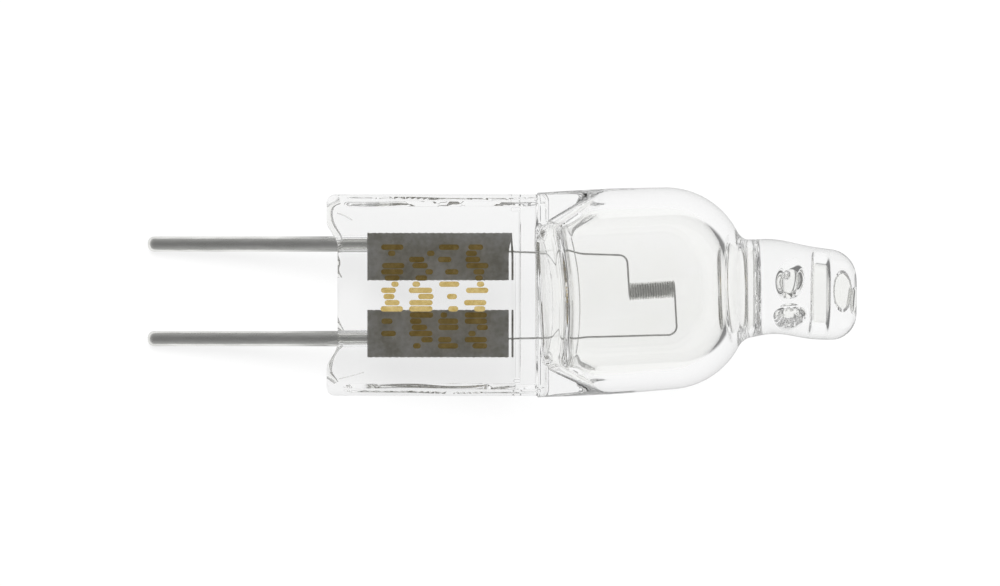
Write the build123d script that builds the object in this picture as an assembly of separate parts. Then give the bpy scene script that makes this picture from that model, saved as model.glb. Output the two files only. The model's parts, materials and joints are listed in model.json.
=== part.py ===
"""Low-voltage halogen capsule bulb with a two-pin base, lying on its pins and its belly.

The bulb is modelled along its own axis first: X runs from the pins to the tip, Y across the
flat pinch and Z out of the pinch's face, with the origin between the pins where they leave the
glass. At the end every piece is turned and set down as the bulb lies on a table.
"""
from build123d import *
import math
import os

# Overall
overall_length = 30.0          # pin ends to the end of the tip

# Contact pins
pin_spacing = 4.0              # centre to centre, the four millimetre two-pin base
pin_diameter = 0.65
pin_free_length = 8.05         # outside the glass
pin_nose_radius = 0.27         # rounding of the free end
pin_gap = 0.015                # the glass stands off the pin by this much

# Sealing foils
foil_length = 5.95
foil_width = 2.0
foil_thickness = 0.03
foil_feather = 0.25            # width of the etched, thinned long edges
foil_edge_thickness = 0.01
foil_spacing = 3.25            # centre to centre
foil_start = 1.25              # from the base of the pinch
weld_length = 1.05             # overlap of pin and leg on the foil

# Filament, one wire with its two legs
wire_diameter = 0.085
wire_sides = 3                 # the fine wire is swept with few sides
wire_gap = 0.01                # the glass stands off the leg by this much
coil_turns = 18
coil_pitch = 0.108
coil_diameter = 0.74           # outside
coil_distance = 13.25          # base of the pinch to the middle of the coil
coil_offset = 0.04             # middle of the coil, across the pinch
coil_tilt = 3.5                # degrees, in the plane of the pinch
leg_weld_spread = 3.74         # between the legs at the foils
leg_corner_spread = 3.34       # between the legs where they bend to the coil
leg_bend_radius = 0.36

# Pinch
pinch_length = 8.5
pinch_width = 8.48
pinch_offset = -0.16           # middle of the pinch, from the middle of the pins
panel_thickness = 2.6
rail_width = 0.4               # thicker rail along each long edge
rail_height = 0.16             # above the panel, on each face
rail_slope = 0.1
rail_rounding = 0.3
ear_length = 0.48              # glass lip at each base corner
ear_width = 1.5
ear_rounding = 0.55
groove_distance = 7.36         # base of the pinch to the jaw mark across each face
groove_width = 0.38
groove_depth = 0.12

# Bulb and tip
bulb_diameter = 8.7
bulb_length = 8.62             # end of the pinch to the neck of the tip
bulb_wall = 0.84
bulb_lean = 3.0                # degrees, in the plane of the pinch
floor_angle = 74.0             # slope of the bulb's floor towards the pinch, in degrees
floor_thickness = 0.7
floor_root = 1.2               # half height of the floor where it meets the pinch
shoulder_radius = 0.9          # round from the floor to the belly
shoulder_proud = 0.015         # the round ends this far above the barrel, so they meet in an edge
cavity_rounding = 0.45
corner_angle = 31.0            # slant of the bulb's corners to the pinch, from its axis, in degrees
corner_length = 3.1            # end of the pinch to where the slants meet the barrel
web_thickness = 1.8            # flat web that fills each corner between pinch and bulb
tip_diameter = 3.96
tip_wall = 0.38
tip_lean = -5.8                # degrees, in the plane of the pinch
tip_end_rounding = 1.2
neck_bore_depth = 0.5          # the open neck reaches this far into the tip
void_diameter = 2.4            # closed void that tipping off leaves in the tip
void_length = 0.85
void_end_wall = 1.15

# Sizes that follow
pin_radius = pin_diameter / 2
wire_radius = wire_diameter / 2
coil_radius = (coil_diameter - wire_diameter) / 2
coil_length = coil_turns * coil_pitch
bulb_radius = bulb_diameter / 2
tip_radius = tip_diameter / 2
foil_end = foil_start + foil_length
foil_back = pin_radius                            # pins and legs are welded to this face
leg_plane = foil_back - wire_radius
neck_distance = pinch_length + bulb_length
tip_end = overall_length - pin_free_length
tip_length = tip_end - neck_distance
dome_centre = neck_distance - math.sqrt(bulb_radius**2 - tip_radius**2)
floor_slope = math.tan(math.radians(floor_angle))
floor_apex = pinch_length - floor_root / floor_slope
cavity_apex = floor_apex + floor_thickness / math.sin(math.radians(floor_angle))
corner_slope = math.tan(math.radians(corner_angle))
corner_apex = pinch_length + corner_length - bulb_radius / corner_slope
cavity_corner = corner_apex + bulb_wall / math.sin(math.radians(corner_angle))
reach = overall_length                            # longer than anything that is cut

sides = {"upper": 1, "lower": -1}


def across(side, spread):
    """Place across the pinch of one of two like things that stand this far apart."""
    return pinch_offset + side * spread / 2


# Contact pins

def contact_pin(side):
    """A pin from its rounded free end to the end of its weld.

    The contact length ends at the glass lips, and the wall is parted there.
    """
    start = -pin_free_length
    end = foil_start + weld_length
    half = Polyline(
        (end, 0), (start, 0), (start, pin_radius), (-ear_length, pin_radius), (end, pin_radius),
        close=True,
    )
    profile = make_face(half)
    nose = profile.vertices().sort_by_distance((start, pin_radius))[0]
    pin = revolve(fillet(nose, pin_nose_radius), Axis.X, clean=False)
    return Pos(0, side * pin_spacing / 2, 0) * pin


def pin_bore(side):
    """Room in the glass for a pin."""
    length = ear_length + foil_start + weld_length
    bore = extrude(Plane.YZ * Circle(pin_radius + pin_gap), length)
    return Pos(-ear_length, side * pin_spacing / 2, 0) * bore


# Sealing foils

def sealing_foil(side):
    """A thin strip whose long edges are etched down, so that the glass can seal round it."""
    half = foil_width / 2
    flat = half - foil_feather
    middle = foil_back + foil_thickness / 2
    edge = foil_edge_thickness / 2
    face = foil_thickness / 2
    section = Polyline(
        (-half, -edge), (-flat, -face), (flat, -face), (half, -edge),
        (half, edge), (flat, face), (-flat, face), (-half, edge), close=True,
    )
    strip = extrude(Plane.YZ * make_face(section), foil_length)
    return Location((foil_start, across(side, foil_spacing), middle)) * strip


# Filament

def coil_line():
    """The coil's helix: it starts and ends on the side of the pinch's face, heading downwards."""
    tilt = math.radians(coil_tilt)
    along = Vector(math.cos(tilt), math.sin(tilt), 0)
    middle = Vector(coil_distance, coil_offset, leg_plane - coil_radius)
    start = Plane(origin=middle - along * coil_length / 2, x_dir=(0, 0, 1), z_dir=along)
    return start.location * Helix(coil_pitch, coil_length, coil_radius)


def leg_weld(side):
    """Start of a leg, on its foil."""
    return Vector(foil_end - weld_length, across(side, leg_weld_spread), leg_plane)


def leg_corner(side):
    """Where a leg bends, in line with the end of the coil that it runs into."""
    end = 0 if side > 0 else 1
    coil = coil_line()
    heading = coil % end
    rise = across(side, leg_corner_spread) - (coil @ end).Y
    return coil @ end + heading * (rise / heading.Y)


def filament():
    """One tungsten wire: the upper leg, the coil and the lower leg."""
    coil = coil_line()
    upper = FilletPolyline(leg_weld(1), leg_corner(1), coil @ 0, radius=leg_bend_radius)
    lower = FilletPolyline(coil @ 1, leg_corner(-1), leg_weld(-1), radius=leg_bend_radius)
    path = Wire(upper.edges() + coil.edges() + lower.edges())
    section = Plane(origin=path @ 0, x_dir=(0, 0, 1), z_dir=path % 0)
    return sweep(section * RegularPolygon(wire_radius, wire_sides), path=path)


def leg_bore(side):
    """Room in the glass for a leg, from the end of the foil into the bulb."""
    weld = leg_weld(side)
    along = (leg_corner(side) - weld).normalized()
    length = cavity_apex + floor_thickness - weld.X
    return extrude(Plane(origin=weld, z_dir=along) * Circle(wire_radius + wire_gap), length)


# Glass envelope

def pinch_slab():
    """The pressed seal: a panel with a rail along each long edge and a lip at each base corner."""
    half = pinch_width / 2
    panel = panel_thickness / 2
    crest = panel + rail_height
    rail_in = half - rail_width
    upper_half = Polyline(
        (-half, 0), (-half, crest), (-rail_in, crest), (-rail_in + rail_slope, panel),
        (rail_in - rail_slope, panel), (rail_in, crest), (half, crest), (half, 0), close=True,
    )
    section = make_face(upper_half)
    corners = section.vertices().filter_by(lambda v: abs(abs(v.X) - half) < 1e-6 and v.Y > panel)
    section = fillet(corners, rail_rounding)
    section += mirror(section, about=Plane.XZ)
    bar = extrude(Plane.YZ * section, pinch_length + ear_length)
    bar = Location((-ear_length, pinch_offset, 0)) * bar
    return (bar & pinch_outline()) - jaw_grooves()


def pinch_outline():
    """The pinch seen on its face, with the base drawn in between the two lips."""
    half = pinch_width / 2
    inner = half - ear_width
    outline = Polyline(
        (pinch_length, -half), (-ear_length, -half), (-ear_length, -inner), (0, -inner + ear_length),
        (0, inner - ear_length), (-ear_length, inner), (-ear_length, half), (pinch_length, half),
        close=True,
    )
    face = make_face(outline)
    lips = face.vertices().filter_by(lambda v: abs(v.X + ear_length) < 1e-6)
    face = fillet(lips, ear_rounding)
    slab = extrude(face, panel_thickness, both=True)
    return Location((0, pinch_offset, 0)) * slab


def jaw_grooves():
    """The shallow mark that the press jaws leave across each face, between the rails."""
    panel = panel_thickness / 2
    rim = groove_distance + groove_width
    length = pinch_width - 2 * (rail_width + rail_slope)
    section = make_face(Polyline(
        (groove_distance, panel), (groove_distance + groove_depth, panel - groove_depth),
        (rim - groove_depth / 2, panel - groove_depth), (rim, panel), close=True,
    ))
    groove = extrude(Plane.XZ.offset(-pinch_offset - length / 2) * section, length)
    return groove + mirror(groove, about=Plane.XY)


def leaning(shape, distance, angle):
    """Turns a shape, made about the X axis, in the plane of the pinch about a point on that axis."""
    return Pos(distance, pinch_offset, 0) * Rot(0, 0, angle) * Pos(-distance, 0, 0) * shape


def neck_place():
    """Middle of the tip's neck, where the leaning bulb carries it."""
    lean = math.radians(bulb_lean)
    return (
        pinch_length + bulb_length * math.cos(lean),
        pinch_offset + bulb_length * math.sin(lean),
    )


def on_tip(shape):
    """Puts a shape that is made about the X axis from the neck onwards onto the leaning tip."""
    x, y = neck_place()
    return Pos(x, y, 0) * Rot(0, 0, tip_lean) * shape


def floor_wedge(apex, barrel_radius, rounding):
    """The space in front of the bulb's two sloping floor faces, with rounded shoulders."""
    roof = barrel_radius + shoulder_proud
    top = apex + roof / floor_slope
    house = make_face(Polyline(
        (apex, 0), (top, roof), (apex + reach, roof), (apex + reach, -roof), (top, -roof), close=True,
    ))
    shoulders = house.vertices().filter_by(lambda v: abs(v.X - top) < 1e-6)
    return extrude(Plane.XZ * fillet(shoulders, rounding), reach, both=True)


def bulb_round(wall):
    """The turned form of the bulb, taken in by a wall on every side: a barrel with a round dome."""
    radius = bulb_radius - wall
    back = floor_apex - bulb_wall
    start = (dome_centre, radius)
    top = (dome_centre + radius, 0)
    profile = make_face(
        Polyline(top, (back, 0), (back, radius), start) + RadiusArc(start, top, radius)
    )
    return revolve(profile, Axis.X)


def corner_wedge(apex):
    """The space between the slants that take the bulb's corners in towards the pinch."""
    side = reach * corner_slope
    wedge = make_face(Polyline((apex, 0), (apex + reach, side), (apex + reach, -side), close=True))
    return extrude(wedge, reach, both=True)


def bulb_outside():
    """The bulb's outer form: sloping floor, slanting corners, and the flat webs that fill those."""
    webs = Box(2 * reach, 2 * reach, web_thickness)
    body = bulb_round(0) & floor_wedge(floor_apex, bulb_radius, shoulder_radius)
    body &= corner_wedge(corner_apex) + webs
    return leaning(body, pinch_length, bulb_lean)


def bulb_hollow():
    """The bulb's cavity, a wall's thickness inside its outer form."""
    body = bulb_round(bulb_wall) & floor_wedge(cavity_apex, bulb_radius - bulb_wall, cavity_rounding)
    return leaning(body & corner_wedge(cavity_corner), pinch_length, bulb_lean)


def tip_outside():
    """The exhaust tube's stub, melted round at its end, from inside the dome to the end."""
    root = -bulb_wall
    profile = make_face(Polyline(
        (root, 0), (root, tip_radius), (tip_length, tip_radius), (tip_length, 0), close=True,
    ))
    corner = profile.vertices().sort_by_distance((tip_length, tip_radius))[0]
    return on_tip(revolve(fillet(corner, tip_end_rounding), Axis.X))


def neck_bore():
    """The open end of the exhaust tube, from the bulb into the tip."""
    root = -2 * bulb_wall
    bore = Circle(tip_radius - tip_wall)
    return on_tip(extrude(Plane.YZ.offset(root) * bore, neck_bore_depth - root))


def tip_void():
    """The closed void that tipping off leaves before the end of the tip."""
    start = tip_length - void_end_wall - void_length
    disc = Circle(void_diameter / 2)
    return on_tip(extrude(Plane.YZ.offset(start) * disc, void_length))


def envelope():
    """The one piece of glass: pinch, bulb and tip, with its cavity and room for the metal."""
    glass = bulb_outside() + tip_outside() + pinch_slab()
    glass -= bulb_hollow() + neck_bore()
    glass -= tip_void()
    for side in sides.values():
        glass -= pin_bore(side)
        glass -= sealing_foil(side)
        glass -= leg_bore(side)
    return glass


# Lying on a table

def lying():
    """How the bulb comes to rest: the floor touches both pin noses and the round of the belly.

    In the plane of symmetry that floor is the common tangent below two circles, the rounding of
    the pin's nose and the shoulder between the bulb's floor and its belly.
    """
    nose = Vector(-pin_free_length + pin_nose_radius, pin_nose_radius - pin_radius)
    roof = bulb_radius + shoulder_proud
    half_angle = math.radians(floor_angle) / 2
    belly_distance = floor_apex + roof / floor_slope + shoulder_radius * math.tan(half_angle)
    belly = Vector(belly_distance, shoulder_radius - roof)
    line = belly - nose
    slope = math.atan2(line.Y, line.X)
    tilt = slope - math.asin((shoulder_radius - pin_nose_radius) / line.length)
    return Rot(0, math.degrees(tilt), 0)


def main():
    pieces = {"glass_envelope": envelope(), "filament": filament()}
    for name, side in sides.items():
        pieces[name + "_pin"] = contact_pin(side)
        pieces[name + "_foil"] = sealing_foil(side)
    laid = {name: lying() * shape for name, shape in pieces.items()}
    box = Compound(list(laid.values())).bounding_box()
    floor = Pos(-box.center().X, -box.center().Y, -box.min.Z)
    os.makedirs("parts", exist_ok=True)
    for name, shape in laid.items():
        export_step(floor * shape, f"parts/{name}.step")
    base = floor * lying()
    print("base of the pins", base.position, "turned", base.orientation)


main()
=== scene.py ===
"""Dresses the halogen capsule bulb and lays it on a pale table under soft studio light.

Every shape is worked out in millimetres along the bulb's own axes: u runs from the pins to the
tip, v across the flat pinch and w out of the pinch's face, from the point between the pins where
they leave the glass. Axes carries those places into the shared frame, which is in metres.
"""

import json
import logging
import math
from dataclasses import dataclass, field
from enum import Enum
from typing import Callable

import bmesh
import bpy
import numpy as np
from mathutils import Matrix, Vector


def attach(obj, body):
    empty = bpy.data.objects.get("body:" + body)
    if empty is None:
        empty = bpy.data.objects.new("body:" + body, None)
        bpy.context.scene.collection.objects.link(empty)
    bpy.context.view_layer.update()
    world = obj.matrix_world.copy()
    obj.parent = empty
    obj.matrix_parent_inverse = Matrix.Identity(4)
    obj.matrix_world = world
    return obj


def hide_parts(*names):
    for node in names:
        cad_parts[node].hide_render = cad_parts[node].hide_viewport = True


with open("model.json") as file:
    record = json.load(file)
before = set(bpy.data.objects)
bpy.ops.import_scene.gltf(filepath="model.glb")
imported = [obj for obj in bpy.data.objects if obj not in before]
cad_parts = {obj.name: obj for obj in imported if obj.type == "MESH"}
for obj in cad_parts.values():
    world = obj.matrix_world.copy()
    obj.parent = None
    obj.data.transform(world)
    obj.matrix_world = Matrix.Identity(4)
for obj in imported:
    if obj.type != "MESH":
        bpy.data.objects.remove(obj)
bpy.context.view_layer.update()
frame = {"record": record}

LOG = logging.getLogger("capsule_bulb")
MM = 0.001
BODY = "root"
QUARTER_TURN = math.pi / 2.0
FULL_TURN = 2.0 * math.pi

# Sizes that several pieces share, in millimetres
PINCH_LENGTH = 8.5       # from the base of the pinch to the bulb
SEAL_MIDDLE = -0.16      # middle of the pinch, foils and legs, from the middle of the pins
PIN_RADIUS = 0.325       # also the height of the foils above the pins' plane
WIRE_RADIUS = 0.0425     # of the filament
GLASS_REACH = 8.0        # leaves the glass from anywhere on its middle line

Place = tuple[float, float, float]
Span = tuple[float, float]
Field = Callable[[np.ndarray, np.ndarray, np.ndarray], np.ndarray]


class Side(Enum):
    """The two like halves of the seal, by the sign of their place across the pinch."""

    UPPER = 1
    LOWER = -1

    @property
    def word(self) -> str:
        """The side's name as the nodes have it."""
        return self.name.lower()


class Facing(Enum):
    """Which way a closed skin's faces look from the middle of its rays."""

    OUTWARD = 1
    INWARD = -1


# Shapes by distance

def step(low: float, high: float, value: np.ndarray) -> np.ndarray:
    """Rises smoothly from 0 at low to 1 at high.

    Args:
        low: Where the rise starts.
        high: Where it ends.
        value: The places to read it at.

    Returns:
        The height of the rise at each place.
    """
    share = np.clip((value - low) / (high - low), 0.0, 1.0)
    return share * share * (3.0 - 2.0 * share)


def meet(first: np.ndarray, second: np.ndarray, radius: float | np.ndarray) -> np.ndarray:
    """Keeps what lies in both shapes, with the outer edge rounded.

    Args:
        first: Signed distance to one shape, below 0 inside it.
        second: Signed distance to the other.
        radius: Radius of the rounded edge.

    Returns:
        Signed distance to what they share.
    """
    near = np.hypot(np.maximum(first + radius, 0.0), np.maximum(second + radius, 0.0))
    return np.minimum(-radius, np.maximum(first, second)) + near


def join(first: np.ndarray, second: np.ndarray, radius: float) -> np.ndarray:
    """Keeps what lies in either shape, with a fillet in the inner corner.

    Args:
        first: Signed distance to one shape, below 0 inside it.
        second: Signed distance to the other.
        radius: Radius of the fillet.

    Returns:
        Signed distance to both together.
    """
    return -meet(-first, -second, radius)


def soft_rise(value: np.ndarray, softness: float) -> np.ndarray:
    """Stays near 0 below 0 and rises one for one above it, with a soft bend between.

    Args:
        value: The places to read it at.
        softness: Width of the bend.

    Returns:
        The height of the rise at each place.
    """
    return (value + np.sqrt(value * value + softness * softness)) / 2.0


def ball(centre: Place, half: Place) -> Field:
    """Signed distance, near enough, to a round bubble.

    Args:
        centre: Its middle.
        half: Its half sizes.

    Returns:
        The distance as a function of place.
    """
    def distance(u: np.ndarray, v: np.ndarray, w: np.ndarray) -> np.ndarray:
        """Below 0 inside the bubble."""
        parts = [(at - middle) / size for at, middle, size in zip((u, v, w), centre, half)]
        return np.sqrt(sum(part * part for part in parts)) - 1.0

    return distance


@dataclass(frozen=True)
class Wave:
    """A slow ripple over the pinch.

    Attributes:
        height: Its height.
        along: How fast it runs along the lamp, in radians a millimetre.
        across: How fast it runs across the lamp.
    """

    height: float
    along: float
    across: float

    def at(self, u: np.ndarray, v: np.ndarray) -> np.ndarray:
        """The ripple's height at places along and across the lamp."""
        return self.height * np.sin(self.along * u + self.across * v)


# Places and meshes

@dataclass(frozen=True)
class Axes:
    """The bulb's own axes in the shared frame.

    Attributes:
        origin: The point between the pins where they leave the glass, in metres.
        along: Unit vector from the pins to the tip.
        across: Unit vector across the pinch.
        out: Unit vector out of the pinch's upper face.
    """

    origin: Vector
    along: Vector
    across: Vector
    out: Vector

    @classmethod
    def from_record(cls, record: dict) -> "Axes":
        """Reads the axes from the mount that the pins make.

        Args:
            record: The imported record.

        Returns:
            The axes of the bulb as it lies.
        """
        mount = record["mounts"][0]
        along = -Vector(mount["axis"]).normalized()
        across = Vector((0.0, 1.0, 0.0))
        return cls(Vector(mount["pos_m"]), along, across, along.cross(across))

    def place(self, u: float, v: float, w: float) -> Vector:
        """One place of the bulb, in the shared frame."""
        return self.origin + (self.along * u + self.across * v + self.out * w) * MM

    def places(self, points: np.ndarray) -> np.ndarray:
        """Many places of the bulb, in the shared frame."""
        turn = np.array([self.along, self.across, self.out])
        return np.array(self.origin) + points @ turn * MM


@dataclass
class Skin:
    """Points and faces of a mesh, in millimetres along the bulb's axes."""

    points: np.ndarray
    faces: list[tuple[int, ...]]

    @classmethod
    def from_grid(cls, grid: np.ndarray, facing: Facing) -> "Skin":
        """Closes rows of points round into a skin.

        Args:
            grid: Rows of points, with the columns running round.
            facing: Which way the faces look.

        Returns:
            The skin of four-sided faces between the rows.
        """
        rows, columns = grid.shape[:2]
        index = np.arange(rows * columns).reshape(rows, columns)
        after = np.roll(index, -1, axis=1)
        corners = [index[:-1], after[:-1], after[1:], index[1:]]
        quads = np.stack(corners[::facing.value], axis=-1).reshape(-1, 4)
        return cls(grid.reshape(-1, 3), [tuple(quad) for quad in quads.tolist()])

    def __add__(self, other: "Skin") -> "Skin":
        """Both skins as one mesh.

        Args:
            other: The skin to add.

        Returns:
            The two together.
        """
        start = len(self.points)
        moved = [tuple(corner + start for corner in face) for face in other.faces]
        return Skin(np.vstack((self.points, other.points)), self.faces + moved)

    def build(self, name: str, axes: Axes, finish: bpy.types.Material) -> bpy.types.Object:
        """Makes the piece, with the points that fall together merged.

        Args:
            name: Name of the piece.
            axes: The bulb's axes.
            finish: Its material.

        Returns:
            The piece, on the bulb's body.
        """
        mesh = bpy.data.meshes.new(name)
        mesh.from_pydata(axes.places(self.points).tolist(), [], self.faces)
        merge_close(mesh)
        mesh.shade_smooth()
        mesh.materials.append(finish)
        piece = bpy.data.objects.new(name, mesh)
        bpy.context.scene.collection.objects.link(piece)
        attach(piece, BODY)
        LOG.info("%s: %d faces", name, len(mesh.polygons))
        return piece


def merge_close(mesh: bpy.types.Mesh, distance: float = 1e-7) -> None:
    """Merges points that fall together, as at the poles of a skin.

    Args:
        mesh: The mesh to clean.
        distance: Points nearer than this are one, in metres.
    """
    work = bmesh.new()
    work.from_mesh(mesh)
    bmesh.ops.remove_doubles(work, verts=work.verts, dist=distance)
    bmesh.ops.dissolve_degenerate(work, edges=work.edges, dist=distance)
    work.to_mesh(mesh)
    work.free()


def round_turns(count: int) -> np.ndarray:
    """Even angles once round, in radians."""
    return np.arange(count) * FULL_TURN / count


def march(shape: Field, origins: np.ndarray, headings: np.ndarray, reach: float) -> np.ndarray:
    """Follows rays from inside a shape to its surface.

    Args:
        shape: Signed distance to the shape.
        origins: Starts of the rays, inside the shape.
        headings: Directions of the rays.
        reach: How far the rays go, to outside the shape.

    Returns:
        Where each ray leaves the shape.
    """
    halvings = 34
    low = np.zeros(origins.shape[:-1])
    high = np.full(origins.shape[:-1], reach)
    for _ in range(halvings):
        middle = (low + high) / 2.0
        at = origins + headings * middle[..., None]
        inside = shape(at[..., 0], at[..., 1], at[..., 2]) < 0.0
        low = np.where(inside, middle, low)
        high = np.where(inside, high, middle)
    return origins + headings * low[..., None]


def round_void(shape: Field, centre: Place, rows: int, columns: int, reach: float) -> Skin:
    """The skin of a closed void that can be seen whole from its middle.

    Args:
        shape: Signed distance to the void.
        centre: A place well inside it.
        rows: Rows of points from end to end.
        columns: Points round it.
        reach: A distance from the centre past its surface.

    Returns:
        Its skin, with the faces turned into the void.
    """
    polar, turn = np.meshgrid(np.linspace(0.0, math.pi, rows), round_turns(columns), indexing="ij")
    headings = np.stack(
        (-np.cos(polar), np.sin(polar) * np.cos(turn), np.sin(polar) * np.sin(turn)), axis=-1
    )
    origins = np.broadcast_to(np.array(centre), headings.shape)
    return Skin.from_grid(march(shape, origins, headings, reach), Facing.INWARD)


def cut_corners(points: np.ndarray, rounds: int = 3, share: float = 0.25) -> np.ndarray:
    """Turns a path of straight runs into a smooth one with the same ends.

    Args:
        points: The path's corners.
        rounds: How often each corner is cut.
        share: How far along each run a cut falls.

    Returns:
        The points of the smooth path.
    """
    for _ in range(rounds):
        near = points[:-1] * (1.0 - share) + points[1:] * share
        far = points[:-1] * share + points[1:] * (1.0 - share)
        cut = np.stack((near, far), axis=1).reshape(-1, points.shape[1])
        points = np.concatenate((points[:1], cut, points[-1:]))
    return points


def tube(path: np.ndarray, radius: float, sides: int, facing: Facing = Facing.OUTWARD) -> Skin:
    """A round wire along a path, with flat ends.

    Args:
        path: Points along the wire.
        radius: Radius of the wire.
        sides: Points round it.
        facing: Which way the faces look.

    Returns:
        The skin of the wire.
    """
    heading = np.gradient(path, axis=0)
    heading /= np.linalg.norm(heading, axis=1)[:, None]
    normal = np.cross(heading[0], (0.0, 0.0, 1.0))
    normals = []
    for direction in heading:
        normal = normal - direction * np.dot(normal, direction)
        normal = normal / np.linalg.norm(normal)
        normals.append(normal)
    first = np.array(normals)
    second = np.cross(heading, first)
    turn = round_turns(sides)
    ring = first[:, None] * np.cos(turn)[:, None] + second[:, None] * np.sin(turn)[:, None]
    grid = path[:, None] + ring * radius
    ends = [np.broadcast_to(path[end], (1, sides, 3)) for end in (0, -1)]
    return Skin.from_grid(np.concatenate((ends[0], grid, ends[1])), facing)


def fanned_rows(runs: tuple[tuple[float, float, int], ...], start_rows: int, end_rows: int
                ) -> tuple[np.ndarray, np.ndarray]:
    """Rows of rays along the lamp: level ones, with a fan of leaning ones at each end.

    Args:
        runs: Start, end and number of the level rows, stretch by stretch.
        start_rows: Rows in the first fan.
        end_rows: Rows in the last.

    Returns:
        Where each row starts, and how far it leans towards the tip in radians.
    """
    level = np.concatenate([np.linspace(start, end, rows, endpoint=False) for start, end, rows in runs])
    first, last = runs[0][0], runs[-1][1]
    stations = np.concatenate((np.full(start_rows, first), level, np.full(end_rows, last)))
    start_fan = np.linspace(-QUARTER_TURN, 0.0, start_rows, endpoint=False)
    end_fan = np.linspace(0.0, QUARTER_TURN, end_rows)
    return stations, np.concatenate((start_fan, np.zeros(len(level)), end_fan))


def crowded_turns(crowd: float, half: float, within: int, between: int) -> np.ndarray:
    """Angles round a row of rays, crowded where they meet the pinch's rails.

    Args:
        crowd: Middle of the first crowd, in radians; the others mirror it.
        half: Half the width of a crowd, in radians.
        within: Rays in a crowd.
        between: Rays from one crowd to the next.

    Returns:
        The angles, in radians.
    """
    middles = (crowd, math.pi - crowd, math.pi + crowd, FULL_TURN - crowd, FULL_TURN + crowd)
    turns = []
    for middle, after in zip(middles, middles[1:]):
        turns.append(np.linspace(middle - half, middle + half, within, endpoint=False))
        turns.append(np.linspace(middle + half, after - half, between, endpoint=False))
    return np.concatenate(turns)


# Shader nodes

def add_node(tree: bpy.types.NodeTree, kind: str, feeds: dict | None = None, **settings: object
             ) -> bpy.types.Node:
    """Adds a node with what feeds it.

    Args:
        tree: The node tree.
        kind: Type of the node.
        feeds: Sockets to link and constants to set, by the name or place of the input.
        **settings: Properties of the node.

    Returns:
        The node.
    """
    node = tree.nodes.new(kind)
    for name, value in settings.items():
        setattr(node, name, value)
    for place, value in (feeds or {}).items():
        if isinstance(value, bpy.types.NodeSocket):
            tree.links.new(value, node.inputs[place])
        else:
            node.inputs[place].default_value = value
    return node


def maths(tree: bpy.types.NodeTree, operation: str, first: object, second: object = 0.0
          ) -> bpy.types.NodeSocket:
    """One step of arithmetic.

    Args:
        tree: The node tree.
        operation: What to do.
        first: A socket or a number.
        second: Another, where the step takes two.

    Returns:
        The result.
    """
    return add_node(tree, "ShaderNodeMath", {0: first, 1: second}, operation=operation).outputs[0]


def ramp(tree: bpy.types.NodeTree, value: bpy.types.NodeSocket, span: Span, levels: tuple,
         easing: str = "LINEAR") -> bpy.types.NodeSocket:
    """Turns a stretch of values into a stretch of levels.

    Args:
        tree: The node tree.
        value: The value.
        span: The values between which the level changes.
        levels: The levels there, as sockets or numbers.
        easing: How the level changes between them.

    Returns:
        The level.
    """
    places = ("Value", "From Min", "From Max", "To Min", "To Max")
    feeds = dict(zip(places, (value, *span, *levels)))
    return add_node(tree, "ShaderNodeMapRange", feeds, interpolation_type=easing).outputs["Result"]


def mix_values(tree: bpy.types.NodeTree, share: object, first: object, second: object
               ) -> bpy.types.NodeSocket:
    """Mixes two numbers.

    Args:
        tree: The node tree.
        share: How much of the second, as a socket or a number.
        first: One number, or a socket.
        second: The other.

    Returns:
        The mixed number.
    """
    return add_node(tree, "ShaderNodeMix", {"Factor": share, "A": first, "B": second}).outputs["Result"]


def mix_colours(tree: bpy.types.NodeTree, share: object, first: object, second: object
                ) -> bpy.types.NodeSocket:
    """Mixes two colours.

    Args:
        tree: The node tree.
        share: How much of the second, as a socket or a number.
        first: One colour, or a socket.
        second: The other.

    Returns:
        The mixed colour.
    """
    share_place, first_place, second_place, result_place = 0, 6, 7, 2
    feeds = {share_place: share, first_place: first, second_place: second}
    return add_node(tree, "ShaderNodeMix", feeds, data_type="RGBA").outputs[result_place]


def mix_shaders(tree: bpy.types.NodeTree, share: object, first: bpy.types.NodeSocket,
                second: bpy.types.NodeSocket) -> bpy.types.NodeSocket:
    """Mixes two shaders.

    Args:
        tree: The node tree.
        share: How much of the second, as a socket or a number.
        first: One shader.
        second: The other.

    Returns:
        The mixed shader.
    """
    return add_node(tree, "ShaderNodeMixShader", {0: share, 1: first, 2: second}).outputs[0]


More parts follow.
